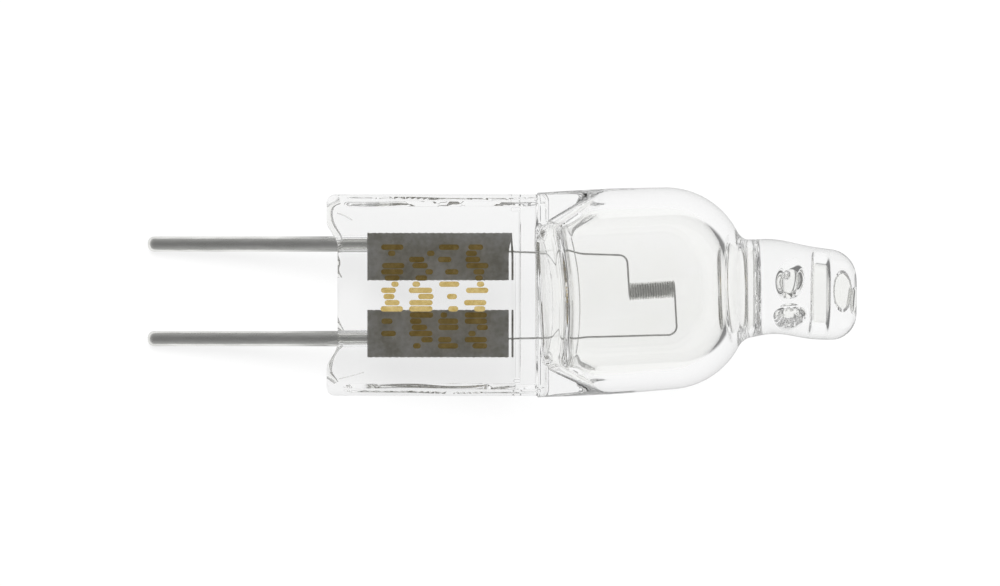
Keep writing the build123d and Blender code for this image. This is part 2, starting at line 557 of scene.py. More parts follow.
def blotch_group() -> bpy.types.NodeTree:
    """Mottling in two sizes, for surfaces that heat or handling has marked unevenly.

    Returns:
        A group that mixes two colours and two roughnesses by an uneven mask, and gives a height.
    """
    coarse_detail, fine_detail, fine_share, mask_span = 3.0, 4.0, 0.45, (0.35, 0.65)
    group = bpy.data.node_groups.new("blotches", "ShaderNodeTree")
    takes = {
        "Stretch": ("NodeSocketVector", (1.0, 1.0, 1.0)),
        "Scale": ("NodeSocketFloat", 1000.0),
        "Fine Scale": ("NodeSocketFloat", 8000.0),
        "Color A": ("NodeSocketColor", (0.5, 0.5, 0.5, 1.0)),
        "Color B": ("NodeSocketColor", (0.4, 0.4, 0.4, 1.0)),
        "Roughness A": ("NodeSocketFloat", 0.3),
        "Roughness B": ("NodeSocketFloat", 0.5),
    }
    for name, (kind, value) in takes.items():
        group.interface.new_socket(name=name, in_out="INPUT", socket_type=kind).default_value = value
    gives = {"Color": "NodeSocketColor", "Roughness": "NodeSocketFloat", "Height": "NodeSocketFloat"}
    for name, kind in gives.items():
        group.interface.new_socket(name=name, in_out="OUTPUT", socket_type=kind)
    given = add_node(group, "NodeGroupInput").outputs
    where = add_node(group, "ShaderNodeTexCoord").outputs["Object"]
    stretch = {0: where, 1: given["Stretch"]}
    stretched = add_node(group, "ShaderNodeVectorMath", stretch, operation="MULTIPLY").outputs[0]
    noises = []
    for scale, detail in (("Scale", coarse_detail), ("Fine Scale", fine_detail)):
        feeds = {"Vector": stretched, "Scale": given[scale], "Detail": detail}
        noises.append(add_node(group, "ShaderNodeTexNoise", feeds).outputs["Fac"])
    height = mix_values(group, fine_share, *noises)
    mask = ramp(group, height, mask_span, (0.0, 1.0))
    colour = mix_colours(group, mask, given["Color A"], given["Color B"])
    rough = mix_values(group, mask, given["Roughness A"], given["Roughness B"])
    add_node(group, "NodeGroupOutput", {"Color": colour, "Roughness": rough, "Height": height})
    return group


# Finishes

def blank(name: str) -> tuple[bpy.types.Material, bpy.types.Node, bpy.types.Node]:
    """A new material with a Principled shader.

    Args:
        name: Name of the material.

    Returns:
        The material, its Principled node and its output node.
    """
    material = bpy.data.materials.new(name)
    material.use_nodes = True
    tree = material.node_tree
    tree.nodes.clear()
    shader = add_node(tree, "ShaderNodeBsdfPrincipled")
    output = add_node(tree, "ShaderNodeOutputMaterial", {"Surface": shader.outputs["BSDF"]})
    return material, shader, output


@dataclass(frozen=True)
class Blotches:
    """How a surface's mottling and relief lie and what they mix.

    Attributes:
        stretch: Scale of the pattern along the frame's axes.
        scale: Coarse pattern, in repeats per metre.
        fine_scale: Fine pattern, in repeats per metre.
        colour_a: Colour where the mask is low.
        colour_b: Colour where the mask is high.
        roughness_a: Roughness where the mask is low.
        roughness_b: Roughness where the mask is high.
        bump_depth: Height of the relief, in metres.
        bump_strength: How much of the relief shows.
    """

    stretch: Place
    scale: float
    fine_scale: float
    colour_a: Place
    colour_b: Place
    roughness_a: float
    roughness_b: float
    bump_depth: float
    bump_strength: float

    def dress(self, tree: bpy.types.NodeTree, shader: bpy.types.Node, group: bpy.types.NodeTree) -> None:
        """Feeds a material's shader with the mottling.

        Args:
            tree: The material's node tree.
            shader: Its Principled node.
            group: The group that blotch_group made.
        """
        feeds = {
            "Stretch": self.stretch, "Scale": self.scale, "Fine Scale": self.fine_scale,
            "Color A": (*self.colour_a, 1.0), "Color B": (*self.colour_b, 1.0),
            "Roughness A": self.roughness_a, "Roughness B": self.roughness_b,
        }
        tones = add_node(tree, "ShaderNodeGroup", feeds, node_tree=group).outputs
        relief = {"Distance": self.bump_depth, "Strength": self.bump_strength, "Height": tones["Height"]}
        bump = add_node(tree, "ShaderNodeBump", relief).outputs["Normal"]
        tree.links.new(tones["Color"], shader.inputs["Base Color"])
        tree.links.new(tones["Roughness"], shader.inputs["Roughness"])
        tree.links.new(bump, shader.inputs["Normal"])


@dataclass(frozen=True)
class MetalFinish:
    """Bare metal, drawn or rolled, with uneven tone.

    Attributes:
        name: Name of the material.
        blotches: Its tones, roughness and grain.
    """

    name: str
    blotches: Blotches

    def material(self, group: bpy.types.NodeTree) -> bpy.types.Material:
        """Makes the material.

        Args:
            group: The mottling that the finishes share.

        Returns:
            The metal.
        """
        material, shader, _ = blank(self.name)
        shader.inputs["Metallic"].default_value = 1.0
        self.blotches.dress(material.node_tree, shader, group)
        return material


@dataclass(frozen=True)
class GlassFinish:
    """A clear finish that lets lamps reach what is inside it.

    Attributes:
        name: Name of the material.
        index: Index of refraction.
        blotches: Its faint tints, haze and ripples.
        shade: Share of a lamp's light that passes.
        clearness: Share of the light that goes through rather than being scattered.
    """

    name: str
    index: float
    blotches: Blotches
    shade: float
    clearness: float = 1.0

    def material(self, group: bpy.types.NodeTree) -> bpy.types.Material:
        """Makes the material.

        Args:
            group: The mottling that the finishes share.

        Returns:
            The glass.
        """
        material, shader, output = blank(self.name)
        tree = material.node_tree
        shader.inputs["Transmission Weight"].default_value = self.clearness
        shader.inputs["IOR"].default_value = self.index
        self.blotches.dress(tree, shader, group)
        path = add_node(tree, "ShaderNodeLightPath").outputs
        passed = shader.outputs["BSDF"]
        for ray in ("Is Diffuse Ray", "Is Shadow Ray"):
            clear = add_node(tree, "ShaderNodeBsdfTransparent", {"Color": (*[self.shade] * 3, 1.0)})
            passed = mix_shaders(tree, path[ray], passed, clear.outputs[0])
        tree.links.new(passed, output.inputs["Surface"])
        return material


EVEN = (1.0, 1.0, 1.0)
DRAWN = (0.06, 1.0, 1.0)
QUARTZ = GlassFinish(
    "clear_quartz", 1.458,
    Blotches(EVEN, 160.0, 700.0, (1.0, 1.0, 1.0), (0.992, 0.996, 0.994), 0.0, 0.012, 1e-5, 0.05),
    shade=0.95,
)
STAINED_QUARTZ = GlassFinish(
    "stained_quartz", 1.458,
    Blotches(EVEN, 160.0, 700.0, (1.0, 1.0, 0.995), (0.985, 0.988, 0.96), 0.0, 0.012, 1e-5, 0.05),
    shade=0.95,
)
PIN_WIRE = MetalFinish(
    "drawn_pin_wire",
    Blotches(DRAWN, 2500.0, 9000.0, (0.8, 0.8, 0.78), (0.64, 0.64, 0.62), 0.18, 0.3, 2e-5, 0.25),
)
FOIL_STRIP = MetalFinish(
    "rolled_foil",
    Blotches(EVEN, 900.0, 5200.0, (0.57, 0.565, 0.545), (0.4, 0.385, 0.335), 0.4, 0.6, 2e-5, 0.3),
)
TUNGSTEN = MetalFinish(
    "tungsten_wire",
    Blotches(EVEN, 3000.0, 14000.0, (0.9, 0.9, 0.88), (0.72, 0.72, 0.7), 0.4, 0.55, 5e-6, 0.2),
)
GOLD_INK = GlassFinish(
    "gold_ink", 1.06,
    Blotches(EVEN, 2600.0, 9000.0, (0.58, 0.42, 0.13), (0.76, 0.6, 0.28), 0.0, 0.02, 1e-6, 0.05),
    shade=0.9, clearness=0.97,
)


# The glass

@dataclass
class Pinch:
    """The flat end of the envelope, pressed shut round the foils.

    Attributes:
        half_width: Half its width.
        panel: Half its thickness between the rails.
        edge_rounding: Radius along its edges.
        base_rounding: Radius along the edge of the base.
        rail_width: Width of the rail along each edge.
        rail_slope: Width of the rail's slope.
        rail_height: Height of the rail above the panel.
        rail_start: Where the rail and its crease set in and are full.
        foot_wave: Sway of the rail's foot.
        rail_wave: Swell of the rail, as a share of its height.
        crease: Where the crease along the rail runs, from the edge.
        crease_depth: Its depth.
        crease_width: Half its width.
        crease_waves: Sway of the crease.
        depth_wave: Swell of the crease's depth, as a share of it.
        ear_length: Reach of the lip at each base corner.
        ear_span: Where the lips start and reach furthest, from the middle.
        ear_rounding: Radius of the base corners.
        rim_drop: How far the rim that the rails follow is put off between the ears.
        groove: Where the jaw mark starts and ends.
        groove_ramps: Width of its two flanks.
        groove_depth: Its depth.
        groove_shift: How much sooner it starts on the upper side.
        shift_span: Where across the pinch that sets in and is full.
        jaw_edge: Where the pressed panel ends.
        jaw_step: Height of the step there.
        jaw_ramp: Length of that step.
    """

    half_width: float = 4.24
    panel: float = 1.3
    edge_rounding: float = 0.3
    base_rounding: float = 0.35
    rail_width: float = 0.52
    rail_slope: float = 0.24
    rail_height: float = 0.16
    rail_start: Span = (0.15, 0.6)
    foot_wave: Wave = Wave(0.03, 0.8, 1.0)
    rail_wave: Wave = Wave(0.15, 0.9, 1.0)
    crease: float = 0.2
    crease_depth: float = 0.14
    crease_width: float = 0.05
    crease_waves: tuple[Wave, ...] = (Wave(0.035, 0.55, 0.4), Wave(0.012, 2.1, -1.0))
    depth_wave: Wave = Wave(0.25, 1.3, 1.0)
    ear_length: float = 0.46
    ear_span: Span = (2.1, 3.1)
    ear_rounding: float = 0.5
    rim_drop: float = 2.0
    groove: Span = (7.3, 7.74)
    groove_ramps: Span = (0.2, 0.06)
    groove_depth: float = 0.12
    groove_shift: float = 0.1
    shift_span: Span = (1.7, 2.5)
    jaw_edge: float = 8.36
    jaw_step: float = 0.12
    jaw_ramp: float = 0.1

    def relief(self, u: np.ndarray, v: np.ndarray, rim: np.ndarray) -> np.ndarray:
        """How far the face stands above the panel.

        Args:
            u: Places along the lamp.
            v: Places across the pinch.
            rim: Distance of each place past the rim that the rails follow.

        Returns:
            The height of rails, crease, jaw step and groove together.
        """
        foot = self.foot_wave.at(u, v) - self.rail_width
        rail = self.rail_height * (1.0 + self.rail_wave.at(u, v)) * step(0.0, self.rail_slope, rim - foot)
        line = sum(wave.at(u, v) for wave in self.crease_waves) - self.crease
        depth = self.crease_depth * (1.0 - self.depth_wave.height + self.depth_wave.at(u, v))
        rail = rail - depth * np.exp(-((rim - line) / self.crease_width) ** 2)
        rail = rail * step(*self.rail_start, u)
        start, end = self.groove
        start = start - self.groove_shift * step(*self.shift_span, v)
        ramp_down, ramp_up = self.groove_ramps
        mark = step(0.0, ramp_down, u - start) * (1.0 - step(end - ramp_up, end, u))
        inner = 1.0 - step(-self.rail_slope, 0.0, rim + self.rail_width)
        rise = self.jaw_step * step(0.0, self.jaw_ramp, u - self.jaw_edge)
        return np.maximum(rail, rise) - self.groove_depth * mark * inner

    def outside(self, u: np.ndarray, v: np.ndarray, w: np.ndarray) -> np.ndarray:
        """Signed distance to the pinch.

        Args:
            u: Places along the lamp.
            v: Places across the pinch.
            w: Places out of the pinch's face.

        Returns:
            The distances, below 0 inside.
        """
        aside = np.abs(v - SEAL_MIDDLE)
        ears = step(*self.ear_span, aside)
        base = -self.ear_length * ears - u
        rim = meet(aside - self.half_width, base - self.rim_drop * (1.0 - ears), self.ear_rounding)
        face = np.abs(w) - self.panel - self.relief(u, v, rim)
        body = meet(face, aside - self.half_width, self.edge_rounding)
        body = meet(body, base, self.base_rounding)
        return meet(body, u - PINCH_LENGTH - self.edge_rounding, self.edge_rounding)


@dataclass(frozen=True)
class BulbSurface:
    """One surface of the bulb: its outside or its hollow.

    Attributes:
        wall: How far it lies inside the outer barrel.
        apex: Where its two floor faces would meet.
        shoulder: Radius between floor and barrel, on the upper side.
        shoulder_under: The same on the underside.
        crest: How far the ridge where the floor faces meet is rounded.
        slants: Where the floor starts to slant, to the upper and the lower side.
        floor_angle: Slope of the floor, in degrees.
        bend: Width over which the slants set in.
    """

    wall: float
    apex: float
    shoulder: float
    shoulder_under: float
    crest: float
    slants: Span
    floor_angle: float = 74.0
    bend: float = 0.12


@dataclass
class Bulb:
    """The round part of the envelope, with the flat webs that fill its corners to the pinch.

    Attributes:
        radius: Radius of the barrel at its widest.
        widest: Where that is.
        barrel_curve: How fast the barrel thins away from there.
        flattening: How much flatter than round the dome is.
        flat_part: Where along the bulb that sets in and is full.
        lean: Lean of the bulb in the plane of the pinch, in degrees.
        dome_start: Where the barrel ends and the dome starts.
        dome_radius: Radius of the dome's round.
        outer: The bulb's outside.
        hollow: Its hollow.
        shoulder_turn: Half the height over which the upper shoulder passes into the lower one.
        corner_sharpness: How much less the shoulders are rounded at the slants.
        slant_rate: How far the slants rise for each step to the side.
        web: Half the thickness of the webs.
        web_span: Where they start and end.
        web_rounding: Radius along their edges.
        web_seam: Fillet between web and bulb.
    """

    radius: float = 4.34
    widest: float = 10.5
    barrel_curve: float = 0.006
    flattening: float = 0.025
    flat_part: Span = (10.6, 14.6)
    lean: float = 3.0
    dome_start: float = 13.9
    dome_radius: float = 3.4
    outer: BulbSurface = BulbSurface(0.0, 8.156, 0.25, 0.5, 0.01, (2.75, 2.95))
    hollow: BulbSurface = BulbSurface(0.82, 8.75, 0.65, 0.65, 0.3, (2.5, 2.7))
    shoulder_turn: float = 1.0
    corner_sharpness: float = 0.75
    slant_rate: float = 2.0
    web: float = 0.88
    web_span: Span = (8.45, 12.4)
    web_rounding: float = 0.2
    web_seam: float = 0.03

    def leaned(self, u: np.ndarray, v: np.ndarray) -> tuple[np.ndarray, np.ndarray]:
        """Places along and across the leaning bulb.

        Args:
            u: Places along the lamp.
            v: Places across the pinch.

        Returns:
            The same places along the bulb's own middle line and across it.
        """
        lean = math.radians(self.lean)
        ahead, aside = u - PINCH_LENGTH, v - SEAL_MIDDLE
        along = PINCH_LENGTH + ahead * math.cos(lean) + aside * math.sin(lean)
        return along, aside * math.cos(lean) - ahead * math.sin(lean)

    def thinning(self, along: np.ndarray | float) -> np.ndarray | float:
        """How much thinner the barrel is than at its widest."""
        return self.barrel_curve * (along - self.widest) ** 2

    def form(self, u: np.ndarray, v: np.ndarray, w: np.ndarray, surface: BulbSurface) -> np.ndarray:
        """Signed distance to the bulb's outside or to its hollow.

        Args:
            u: Places along the lamp.
            v: Places across the pinch.
            w: Places out of the pinch's face.
            surface: Which of them.

        Returns:
            The distances, below 0 inside.
        """
        along, aside = self.leaned(u, v)
        away = np.hypot(aside, w * (1.0 + self.flattening * step(*self.flat_part, along)))
        barrel = away - self.radius + self.thinning(along)
        ring = self.radius - self.thinning(self.dome_start) - self.dome_radius
        dome = np.hypot(np.maximum(along - self.dome_start, 0.0), np.maximum(away - ring, 0.0))
        side = np.where(along > self.dome_start, dome - self.dome_radius, barrel) + surface.wall
        slope, bend = math.radians(surface.floor_angle), surface.bend
        ridge = np.sqrt(w * w + surface.crest ** 2) - surface.crest
        upper, lower = aside - surface.slants[0], -aside - surface.slants[1]
        rise = self.slant_rate * (soft_rise(upper, bend) + soft_rise(lower, bend))
        floor = ridge * math.cos(slope) - (along - surface.apex - rise) * math.sin(slope)
        corner = step(-bend, bend, np.maximum(upper, lower))
        floor = floor / np.hypot(1.0, self.slant_rate * corner)
        turned = step(-self.shoulder_turn, self.shoulder_turn, w)
        shoulder = surface.shoulder_under + (surface.shoulder - surface.shoulder_under) * turned
        return meet(side, floor, shoulder * (1.0 - self.corner_sharpness * corner))

    def outside(self, u: np.ndarray, v: np.ndarray, w: np.ndarray) -> np.ndarray:
        """Signed distance to the bulb and its webs.

        Args:
            u: Places along the lamp.
            v: Places across the pinch.
            w: Places out of the pinch's face.

        Returns:
            The distances, below 0 inside.
        """
        along, aside = self.leaned(u, v)
        edge = np.hypot(aside, w) - self.radius + self.thinning(along)
        web = meet(np.abs(w) - self.web, edge, self.web_rounding)
        start, end = self.web_span
        web = np.maximum(web, np.maximum(start - u, u - end))
        return join(self.form(u, v, w, self.outer), web, self.web_seam)


@dataclass
class Tip:
    """The stub of the exhaust tube, melted off.

    Attributes:
        stations: Places along the tip where its line and thickness are set.
        line: Its middle line across the pinch, at the stations.
        radius: Its radius at the stations.
        end: Where it ends.
        end_rounding: Radius round its end.
        disc: Where the disc-shaped void starts and ends.
        disc_middle: Its middle across the pinch.
        disc_wall: Thickness of the glass round that void.
        disc_rounding: Radius of its edges.
        bubbles: Middles and half sizes of the bubbles.
    """

    stations: tuple[float, ...] = (16.0, 17.1, 18.4, 20.1, 22.0)
    line: tuple[float, ...] = (0.16, 0.1, 0.2, -0.07, -0.2)
    radius: tuple[float, ...] = (2.2, 2.1, 2.0, 1.95, 1.84)
    end: float = 21.91
    end_rounding: float = 1.05
    disc: Span = (19.92, 20.78)
    disc_middle: float = -0.1
    disc_wall: float = 0.68
    disc_rounding: float = 0.18
    bubbles: tuple[tuple[Place, Place], ...] = (
        ((19.05, 0.33, -0.2), (0.64, 0.6, 0.8)),
        ((18.9, 0.62, 1.1), (0.18, 0.2, 0.25)),
        ((19.1, -0.78, 0.35), (0.76, 0.43, 1.0)),
        ((21.2, 0.0, 1.0), (0.34, 0.8, 0.12)),
        ((21.42, -0.35, 0.3), (0.16, 0.5, 0.35)),
    )

    def smooth(self, values: tuple[float, ...], u: np.ndarray) -> np.ndarray:
        """Runs smoothly through values at the stations.

        Args:
            values: One value for each station.
            u: Places along the bulb.

        Returns:
            The value at each place.
        """
        inside = 1e-6
        at = np.clip(u, self.stations[0], self.stations[-1] - inside)
        part = np.searchsorted(self.stations, at, side="right") - 1
        stations, heights = np.array(self.stations), np.array(values)
        slopes = np.gradient(heights, stations)
        span = stations[part + 1] - stations[part]
        share = (at - stations[part]) / span
        rise = share * share * (3.0 - 2.0 * share)
        lead = span * share * (1.0 - share)
        curve = lead * ((1.0 - share) * slopes[part] - share * slopes[part + 1])
        return heights[part] * (1.0 - rise) + heights[part + 1] * rise + curve

    def round(self, u: np.ndarray, v: np.ndarray, w: np.ndarray, wall: float = 0.0) -> np.ndarray:
        """Distance from the tube's side, taken in by a wall."""
        return np.hypot(v - self.smooth(self.line, u), w) - self.smooth(self.radius, u) + wall

    def outside(self, u: np.ndarray, v: np.ndarray, w: np.ndarray) -> np.ndarray:
        """Signed distance to the tip's outer form."""
        return meet(self.round(u, v, w), u - self.end, self.end_rounding)

    def disc_void(self, u: np.ndarray, v: np.ndarray, w: np.ndarray) -> np.ndarray:
        """Signed distance to the disc-shaped void.

        Args:
            u: Places along the lamp.
            v: Places across the pinch.
            w: Places out of the pinch's face.

        Returns:
            The distances, below 0 inside.
        """
        start, end = self.disc
        across = self.round(u, v, w, self.disc_wall)
        return meet(across, np.abs(u - (start + end) / 2.0) - (end - start) / 2.0, self.disc_rounding)

    def voids(self) -> Skin:
        """The disc-shaped void and the bubbles that melting the tube shut left in the tip.

        Returns:
            Their skins as one.
        """
        disc_points, disc_reach = 80, 4.0
        bubble_rows, bubble_columns, bubble_reach = 32, 40, 3.0
        centre = (sum(self.disc) / 2.0, self.disc_middle, 0.0)
        skin = round_void(self.disc_void, centre, disc_points, disc_points, disc_reach)
        for centre, half in self.bubbles:
            skin += round_void(ball(centre, half), centre, bubble_rows, bubble_columns, bubble_reach)
        return skin


@dataclass(frozen=True)
class Fold:
    """A thread of air that pressing the pinch trapped under its face.

    Attributes:
        corners: Corners of its path, along and across the lamp.
        radius: Its radius.
        height: Its height above the pins' plane.
    """

    corners: tuple[Span, ...]
    radius: float
    height: float = 0.78

    def skin(self) -> Skin:
        """The thread's surface, turned into the air.

        Returns:
            Its skin.
        """
        sides = 16
        corners = np.array([(u, v, self.height) for u, v in self.corners])
        return tube(cut_corners(corners), self.radius, sides, Facing.INWARD)


UPPER_EAR = (
    (0.1, 3.78), (-0.2, 3.66), (-0.27, 3.35), (-0.24, 2.95), (-0.08, 2.62), (0.12, 2.3), (0.16, 2.1),
)
LOWER_EAR = (
    (0.2, -2.25), (0.04, -2.5), (-0.14, -2.85), (-0.26, -3.2), (-0.28, -3.5), (-0.05, -3.85),
)
BASE_FOLDS = (
    Fold(UPPER_EAR, 0.1),
    Fold(((0.22, 2.0), (0.12, 1.6), (0.2, 1.2), (0.14, 0.9), (0.22, 0.58)), 0.045),
    Fold(((-0.02, 3.3), (0.25, 3.22), (0.62, 3.0)), 0.025),
    Fold(((0.1, -0.85), (0.16, -1.3), (0.26, -1.65)), 0.05),
    Fold(LOWER_EAR, 0.1),
    Fold(((0.05, -3.7), (0.5, -3.6), (1.1, -3.42)), 0.025),
)


@dataclass
class GlassEnvelope:
    """The one piece of clear glass: pressed pinch, bulb and tip.

    Attributes:
        pinch: The pinch.
        bulb: The bulb.
        tip: The tip.
        folds: Air trapped in the pinch.
        neck_wall: Thickness of the tube's wall at the neck.
        neck_end: Where the open neck ends.
        neck_rounding: Radius of that end.
        lip_rounding: Radius where the neck opens into the bulb.
        seam: Fillet between pinch and bulb.
        neck_fillet: Fillet between bulb and tip.
        tip_lead: Where the middle line passes from the bulb's to the tip's.
        rail_angle: Angle round the middle at which rays meet the pinch's rails, in degrees.
        rail_spread: Half the width of the crowd of rays there, in degrees.
        even_start: Angle of the first ray where the rays are even, in degrees.
        even_span: Where along the lamp the rays turn even.
    """

    pinch: Pinch = field(default_factory=Pinch)
    bulb: Bulb = field(default_factory=Bulb)
    tip: Tip = field(default_factory=Tip)
    folds: tuple[Fold, ...] = BASE_FOLDS
    neck_wall: float = 0.32
    neck_end: float = 17.85
    neck_rounding: float = 0.4
    lip_rounding: float = 0.3
    seam: float = 0.12
    neck_fillet: float = 0.3
    tip_lead: Span = (16.0, 17.6)
    rail_angle: float = 39.5
    rail_spread: float = 6.5
    even_start: float = 12.0
    even_span: Span = (8.3, 9.5)

    def outside(self, u: np.ndarray, v: np.ndarray, w: np.ndarray) -> np.ndarray:
        """Signed distance to the whole envelope's outer form.

        Args:
            u: Places along the lamp.
            v: Places across the pinch.
            w: Places out of the pinch's face.

        Returns:
            The distances, below 0 inside.
        """
        body = join(self.pinch.outside(u, v, w), self.bulb.outside(u, v, w), self.seam)
        tipped = join(body, self.tip.outside(u, v, w), self.neck_fillet)
        return np.where(u > self.bulb.dome_start, tipped, body)

    def cavity(self, u: np.ndarray, v: np.ndarray, w: np.ndarray) -> np.ndarray:
        """Signed distance to the hollow of the bulb and the open neck.

        Args:
            u: Places along the lamp.
            v: Places across the pinch.
            w: Places out of the pinch's face.

        Returns:
            The distances, below 0 inside.
        """
        hollow = self.bulb.form(u, v, w, self.bulb.hollow)
        neck = meet(self.tip.round(u, v, w, self.neck_wall), u - self.neck_end, self.neck_rounding)
        return np.where(u > self.bulb.dome_start, join(hollow, neck, self.lip_rounding), hollow)

    def middle(self, u: np.ndarray) -> np.ndarray:
        """A line that runs inside the glass from the pinch to the tip.

        Args:
            u: Places along the lamp.

        Returns:
            Where the line lies across the pinch at each place.
        """
        lean = math.tan(math.radians(self.bulb.lean))
        bulb = SEAL_MIDDLE + lean * np.maximum(u - PINCH_LENGTH, 0.0)
        tip = self.tip.smooth(self.tip.line, u)
        return bulb + (tip - bulb) * step(*self.tip_lead, u)

    def rays(self, stations: np.ndarray, tilts: np.ndarray, turns: np.ndarray, spread: np.ndarray
             ) -> tuple[np.ndarray, np.ndarray]:
        """Rays from the middle of the glass that fan out round it.

        Args:
            stations: Where each row of rays starts along the lamp.
            tilts: How far each row leans towards the tip, in radians.
            turns: Angles of the rays round the middle, row by row.
            spread: Half the width over which each row's rays start.

        Returns:
            Starts and directions of the rays.
        """
        origins = np.zeros((*turns.shape, 3))
        origins[..., 0] = stations[:, None]
        origins[..., 1] = self.middle(stations)[:, None] + spread[:, None] * np.cos(turns)
        headings = np.zeros((*turns.shape, 3))
        headings[..., 0] = np.sin(tilts)[:, None]
        headings[..., 1] = np.cos(tilts)[:, None] * np.cos(turns)
        headings[..., 2] = np.cos(tilts)[:, None] * np.sin(turns)
        return origins, headings

    def outer_skin(self) -> Skin:
        """The outer surface, from the base of the pinch to the end of the tip.

        Returns:
            Its skin.
        """
        runs = (
            (0.9, 7.3, 26), (7.3, 7.8, 22), (7.8, 8.3, 8), (8.3, 10.1, 64), (10.1, 13.9, 20),
            (13.9, 15.9, 24), (15.9, 17.5, 40), (17.5, 20.7, 26),
        )
        start_rows, end_rows, in_crowd, between_crowds = 44, 22, 60, 22
        half_spread, spread_end = 2.9, (8.6, 12.5)
        stations, tilts = fanned_rows(runs, start_rows, end_rows)
        spread = half_spread * (1.0 - step(*spread_end, stations))
        angle, half = math.radians(self.rail_angle), math.radians(self.rail_spread)
        crowded = crowded_turns(angle, half, in_crowd, between_crowds)
        even = math.radians(self.even_start) + round_turns(len(crowded))
        turns = crowded + (even - crowded) * step(*self.even_span, stations)[:, None]
        origins, headings = self.rays(stations, tilts, turns, spread)
        return Skin.from_grid(march(self.outside, origins, headings, GLASS_REACH), Facing.OUTWARD)

    def inner_skin(self) -> Skin:
        """The surface of the hollow, from its floor to the end of the open neck.

        Returns:
            Its skin.
        """
        runs = ((10.4, 15.2, 22), (15.2, 15.8, 10), (15.8, 16.5, 50), (16.5, 16.7, 10))
        start_rows, end_rows, columns = 29, 30, 160
        half_spread, spread_end = 2.3, (10.4, 13.5)
        stations, tilts = fanned_rows(runs, start_rows, end_rows)
        spread = half_spread * (1.0 - step(*spread_end, stations))
        turns = np.tile(round_turns(columns), (len(stations), 1))
        origins, headings = self.rays(stations, tilts, turns, spread)
        return Skin.from_grid(march(self.cavity, origins, headings, GLASS_REACH), Facing.INWARD)

    def build(self, axes: Axes, shell_finish: bpy.types.Material,
              hollow_finish: bpy.types.Material) -> list[bpy.types.Object]:
        """Makes the envelope's outer surface, and the surfaces of its hollows as a piece of their own.

        Args:
            axes: The bulb's axes.
            shell_finish: The glass as it shows outside.
            hollow_finish: The glass as it shows inside.

        Returns:
            Both pieces, which close the glass between them.
        """
        hollows = self.inner_skin() + self.tip.voids()
        for fold in self.folds:
            hollows += fold.skin()
        for side in Side:
            hollows += ContactPin(side).capillary()
        pieces = []
        skins = (("glass_shell", self.outer_skin(), shell_finish), ("glass_hollows", hollows, hollow_finish))
        for name, skin, finish in skins:
            piece = skin.build(name, axes, finish)
            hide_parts("glass_envelope")
            pieces.append(piece)
        return pieces


# The metal

@dataclass
class ContactPin:
    """One contact pin, with its length inside the glass.

    Attributes:
        side: Upper or lower.
        spacing: Between the pins' middles.
        free_length: Its length outside the glass.
        inside: Where it ends in the glass.
        nose: Radius of its rounded end.
        gap: Play between the pin and the glass round it.
        mouth: Where that play starts.
    """

    side: Side
    spacing: float = 4.0
    free_length: float = 8.045
    inside: float = 2.3
    nose: float = 0.27
    gap: float = 0.045
    mouth: float = 0.06

    def turned(self, profile: list[Span], facing: Facing, columns: int = 48) -> Skin:
        """Turns a profile round the pin's axis.

        Args:
            profile: Places along the pin, each with its radius.
            facing: Which way the faces look.
            columns: Points round it.

        Returns:
            The turned skin.
        """
        along, away = np.array(profile).T
        turn = round_turns(columns)
        middle = self.side.value * self.spacing / 2.0
        grid = np.empty((len(profile), columns, 3))
        grid[..., 0] = along[:, None]
        grid[..., 1] = middle + away[:, None] * np.cos(turn)
        grid[..., 2] = away[:, None] * np.sin(turn)
        return Skin.from_grid(grid, facing)

    def skin(self) -> Skin:
        """The pin's surface, from its rounded end to its weld.

        Returns:
            Its skin.
        """
        nose_rows, shank_rows = 10, 40
        flat, start = PIN_RADIUS - self.nose, -self.free_length
        profile = [(start, 0.0)]
        for angle in np.linspace(0.0, QUARTER_TURN, nose_rows):
            profile.append((start + self.nose * (1.0 - math.cos(angle)), flat + self.nose * math.sin(angle)))
        for u in np.linspace(start + self.nose, self.inside, shank_rows)[1:]:
            profile.append((float(u), PIN_RADIUS))
        profile.append((self.inside, 0.0))
        return self.turned(profile, Facing.OUTWARD)

    def capillary(self) -> Skin:
        """The thin air gap that the glass leaves round the pin.

        Returns:
            Its skin.
        """
        rows = 14
        room, end = PIN_RADIUS + self.gap, self.inside + self.gap
        profile = [(self.mouth, 0.0)]
        profile += [(float(u), room) for u in np.linspace(self.mouth, end, rows)]
        profile.append((end, 0.0))
        return self.turned(profile, Facing.INWARD)

    def build(self, axes: Axes, finish: bpy.types.Material) -> bpy.types.Object:
        """Makes the pin.

        Args:
            axes: The bulb's axes.
            finish: Its metal.

        Returns:
            The piece.
        """
        piece = self.skin().build(f"{self.side.word}_pin_wire", axes, finish)
        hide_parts(f"{self.side.word}_pin")
        return piece


